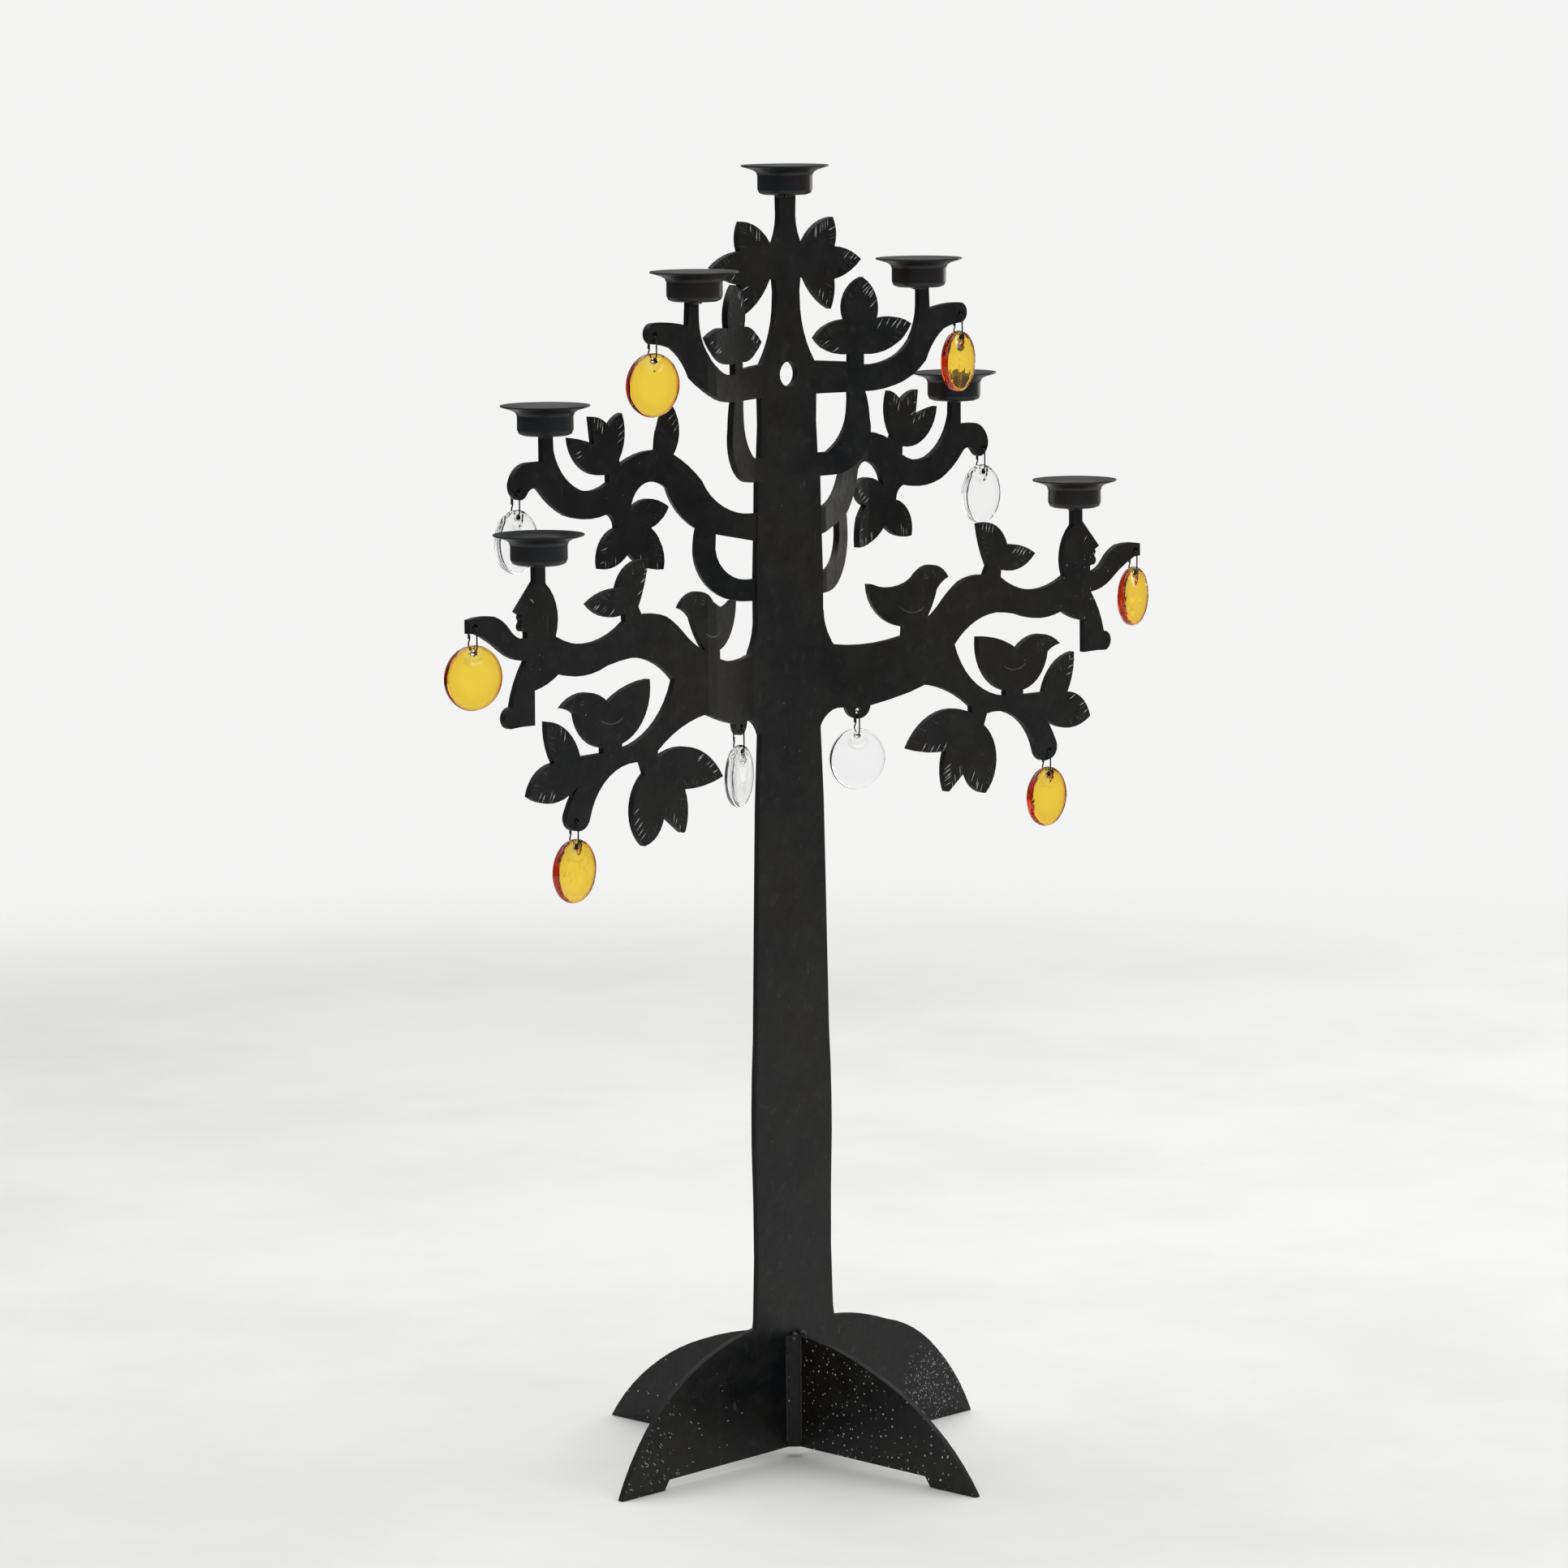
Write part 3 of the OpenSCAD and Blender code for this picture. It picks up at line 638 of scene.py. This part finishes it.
for i, name in enumerate(sorted(n for n in nodes if n.startswith("wire_"))):
    key = name[5:]
    j, k = joints[f"link_{key}_swing"], joints[f"disc_{key}_swing"]
    pivot, low = Vector(j["pos_m"]), Vector(k["pos_m"])
    y = Vector(j["axis"]).normalized()
    bm = bmesh.new()
    tube(bm, bent_link(pivot, y, (low - pivot).z + LINK_R, random.Random(40 + i)), WIRE_R)
    o = new_object("bent_" + name, bm, [wire_metal], "link_" + key)
    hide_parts(name)

# ---- cast glass discs ----------------------------------------------------------------------
# (0.46, 0.14, 0.03) and (0.90, 0.91, 0.91) are the painted shade at the rim
amber = glass("amber_cast_glass", (0.986, 0.862, 0.006), 290, (1.0, 0.965, 0.62), (0.46, 0.14, 0.03), 3.0, 1.0)
clear = glass("clear_cast_glass", (0.93, 0.975, 0.965), 5, (1.0, 1.0, 1.0), (0.90, 0.91, 0.91), 5.0, 0.12)
# mm, measured from the middle of a disc
R_OUT, R_HOLE, HOLE_AT = 25.0, 2.7, 19.2
R_FACE, R_RIM = 22.6, 22.4  # where the face ends, and where the rim starts to round off
HALF_MIDDLE = 3.7  # half the thickness in the middle
THINNEST = 0.25
AROUND, ACROSS = 144, 26  # vertices round a face, and rows from the hole to the rim
HANG = -0.1  # of the hole below the disc's hinge


def ramp(x, lo, hi):
    f = min(1.0, max(0.0, (x - lo) / (hi - lo)))
    return f * f * (3 - 2 * f)


def thick(r):
    """Half thickness in mm at radius r: a thick puck with a round rim."""
    body = HALF_MIDDLE - 0.35 * (min(r, R_FACE) / R_FACE) ** 3
    if r > R_RIM:
        body *= math.sqrt(max(0.0, 1 - ((r - R_RIM) / (R_OUT - R_RIM)) ** 2.4))
    return body


def half_thickness(px, pz, r, a, face, off, lively):
    """Half thickness in mm on one face at (px, pz), with its ripple and chips."""
    h = thick(r)
    p3 = Vector((px / 9, pz / 13, face * 3.0)) + off
    wave = lively * (0.30 * noise.noise(p3) + 0.09 * noise.noise(p3 * 3.1))
    # shallow chips where the hole was pierced, and in places along the rim
    to_hole = math.hypot(px, pz - HOLE_AT) - R_HOLE
    chip = max(0, 1 - to_hole / 3.6) ** 1.2 * max(0, noise.noise(p3 * 7 + off) + 0.25) * 1.7
    near_rim = max(0, 1 - abs(r - R_FACE) / 1.9)
    nick = near_rim * max(0, noise.noise(Vector((a * 9, face * 2, 3)) + off) - 0.12) * 1.1
    h += min(0.14, wave) * min(1, h / 2) - lively * (chip + nick * (a > math.pi * 0.9))
    # the glass is pressed thinner round its hole, which leaves room for the wire
    h *= 0.74 + 0.26 * ramp(to_hole, 3.5, 9)
    return max(THINNEST, h)


def cast_disc(centre, x, y, off, lively):
    """A pierced disc in the plane of x and z; "rim" says how strongly the painted shade deepens the colour there,
    from 0 to 1.
    """
    bm = bmesh.new()
    rim = bm.verts.layers.float.new("rim")
    grid = {}
    for face in (-1, 1):
        for row in range(ACROSS + 1):
            f = row / ACROSS
            f = f * f * (3 - 2 * f) * 0.55 + f * 0.45
            for q in range(AROUND):
                if row == ACROSS and face == 1:
                    grid[face, row, q] = grid[-1, row, q]
                    continue
                a = 2 * math.pi * q / AROUND
                hx, hz = R_HOLE * math.cos(a), HOLE_AT + R_HOLE * math.sin(a)
                wob = 1 - 0.006 * abs(noise.noise(Vector((math.cos(a) * 1.5, math.sin(a) * 1.5, 0)) + off))
                ox, oz = R_OUT * wob * math.cos(a), R_OUT * wob * math.sin(a)
                px, pz = hx + (ox - hx) * f, hz + (oz - hz) * f
                r = math.hypot(px, pz) / wob
                h = half_thickness(px, pz, r, a, face, off, lively) if row < ACROSS else 0.0
                v = bm.verts.new(centre + x * px * MM + Vector((0, 0, pz)) * MM + y * face * h * MM)
                # painted shade: the colour deepens a little from the middle outwards and strongly at the rim
                v[rim] = 0.16 * ramp(r, 9, 21) + 0.84 * ramp(r, 21.8, 25.0)
                grid[face, row, q] = v
    for face in (-1, 1):
        for row in range(ACROSS):
            for q in range(AROUND):
                n = (q + 1) % AROUND
                w = [grid[face, row, q], grid[face, row, n], grid[face, row + 1, n], grid[face, row + 1, q]]
                bm.faces.new(w if face == 1 else w[::-1])
    for q in range(AROUND):
        n = (q + 1) % AROUND
        bm.faces.new((grid[-1, 0, q], grid[-1, 0, n], grid[1, 0, n], grid[1, 0, q]))
    bmesh.ops.recalc_face_normals(bm, faces=bm.faces)
    return bm


for i, name in enumerate(sorted(n for n in nodes if n.startswith("glass_"))):
    key = name[6:]
    j = joints[f"disc_{key}_swing"]
    y = Vector(j["axis"]).normalized()
    x = y.cross(Vector((0, 0, 1)))
    centre = Vector(j["pos_m"]) + Vector((0, 0, HANG - HOLE_AT)) * MM
    is_clear = "middle" in key or "inner" in key
    bm = cast_disc(centre, x, y, Vector((17.3 * i, 5.1 * i, 2.2)), 0.12 if is_clear else 1.0)
    o = new_object("cast_" + name, bm, [clear if is_clear else amber], "disc_" + key)
    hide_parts(name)

# ---- stage: floor, light, camera -------------------------------------------------------
bm = bmesh.new()
FLOOR_Z, SPOKES = -0.0004, 96
centre = bm.verts.new((0, 0, FLOOR_Z))
last = None
for r in (0.3, 0.7, 1.2, 1.8, 2.4, 3.3):
    ring = [bm.verts.new((r * math.cos(a), r * math.sin(a), FLOOR_Z))
            for a in [2 * math.pi * k / SPOKES for k in range(SPOKES)]]
    for k in range(SPOKES):
        n = (k + 1) % SPOKES
        bm.faces.new((centre, ring[k], ring[n]) if last is None else (last[k], ring[k], ring[n], last[n]))
    last = ring
me = bpy.data.meshes.new("floor")
bm.to_mesh(me)
bm.free()
floor = bpy.data.objects.new("floor", me)
scene.collection.objects.link(floor)
m, t, bsdf, out = material("pale_floor")
co = t.add("ShaderNodeTexCoord")
away = t.add("ShaderNodeVectorMath", {0: co.outputs["Object"]}, operation="LENGTH")
smudge = t.noise(2.2, 5, 0.62)
t.put(t.mix(t.step(smudge, 0.35, 0.72), (0.80, 0.805, 0.79, 1), (0.735, 0.74, 0.72, 1)), bsdf.inputs["Base Color"])
bsdf.inputs["Roughness"].default_value = 0.75
bsdf.inputs["Specular IOR Level"].default_value = 0.2
fade = t.add("ShaderNodeBsdfTransparent")
both = t.add("ShaderNodeMixShader")
t.put(t.step(away.outputs["Value"], 2.0, 3.2), both.inputs[0])
t.put(bsdf.outputs[0], both.inputs[1])
t.put(fade.outputs[0], both.inputs[2])
t.put(both.outputs[0], out.inputs["Surface"])
floor.data.materials.append(m)

world = bpy.data.worlds.new("studio")
scene.world = world
world.use_nodes = True
world.node_tree.nodes.clear()
t = Tree(world.node_tree)
out = t.add("ShaderNodeOutputWorld")
seen = t.add("ShaderNodeBackground", {"Color": (0.90, 0.90, 0.895, 1), "Strength": 1.0})
co = t.add("ShaderNodeTexCoord")
d = t.add("ShaderNodeSeparateXYZ", {0: co.outputs["Generated"]})
up = t.step(d.outputs[2], 0.0, 0.9)
right = t.step(d.outputs[0], 0.2, 1.0)
glow = t.mix(up, (0.10, 0.10, 0.103, 1), (0.80, 0.81, 0.82, 1))
glow = t.mix(t.math("MULTIPLY", right, 0.55), glow, (0.55, 0.53, 0.50, 1))
room = t.add("ShaderNodeBackground", {"Color": glow, "Strength": 0.9})
lp = t.add("ShaderNodeLightPath")
pick = t.math("MAXIMUM", lp.outputs["Is Camera Ray"], lp.outputs["Is Transmission Ray"])
mixer = t.add("ShaderNodeMixShader", {0: pick})
t.put(room.outputs[0], mixer.inputs[1])
t.put(seen.outputs[0], mixer.inputs[2])
t.put(mixer.outputs[0], out.inputs["Surface"])


AIM = Vector((0, 0, 0.5))


def area(name, at, size, power, colour):
    """A soft light at a place, turned to the middle of the object."""
    light = bpy.data.lights.new(name, "AREA")
    light.shape = "RECTANGLE"
    light.size, light.size_y = size
    light.energy = power
    light.color = colour
    o = bpy.data.objects.new(name, light)
    o.location = at
    o.rotation_euler = (AIM - Vector(at)).to_track_quat("-Z", "Y").to_euler()
    scene.collection.objects.link(o)


area("overhead", (0.3, 0.2, 3.0), (3.2, 3.2), 62, (1.0, 0.995, 0.985))
area("right_soft", (3.0, 0.4, 1.4), (1.6, 2.0), 16, (1.0, 0.97, 0.93))
area("front_soft", (0.2, -3.4, 1.9), (1.8, 1.2), 12, (0.97, 0.985, 1.0))

# the camera stands in front and to the left, a little above the object
AZ, DIST, HIGH = math.radians(-46.2542), 4.82328, 1.21582
PITCH, ROLL, YAW = math.radians(-7.8152), math.radians(-0.42973), math.radians(-0.05058)
FOCAL = 7451.857 / 1932  # focal length in frame widths
SENSOR = 36
back = Vector((math.sin(AZ), -math.cos(AZ), 0))
fwd = -back
fwd = fwd * math.cos(YAW) + fwd.cross(Vector((0, 0, 1))) * math.sin(YAW)
side = fwd.cross(Vector((0, 0, 1)))
ahead = fwd * math.cos(PITCH) + Vector((0, 0, 1)) * math.sin(PITCH)
top = -fwd * math.sin(PITCH) + Vector((0, 0, 1)) * math.cos(PITCH)
across = side * math.cos(ROLL) + top * math.sin(ROLL)
upward = -side * math.sin(ROLL) + top * math.cos(ROLL)
cam = bpy.data.objects.new("camera", bpy.data.cameras.new("camera"))
cam.data.sensor_width = SENSOR
cam.data.lens = FOCAL * SENSOR
cam.data.clip_start, cam.data.clip_end = 0.05, 50
rot = Matrix((across, upward, -ahead)).transposed()
cam.matrix_world = Matrix.Translation(back * DIST + Vector((0, 0, HIGH))) @ rot.to_4x4()
scene.collection.objects.link(cam)
scene.camera = cam
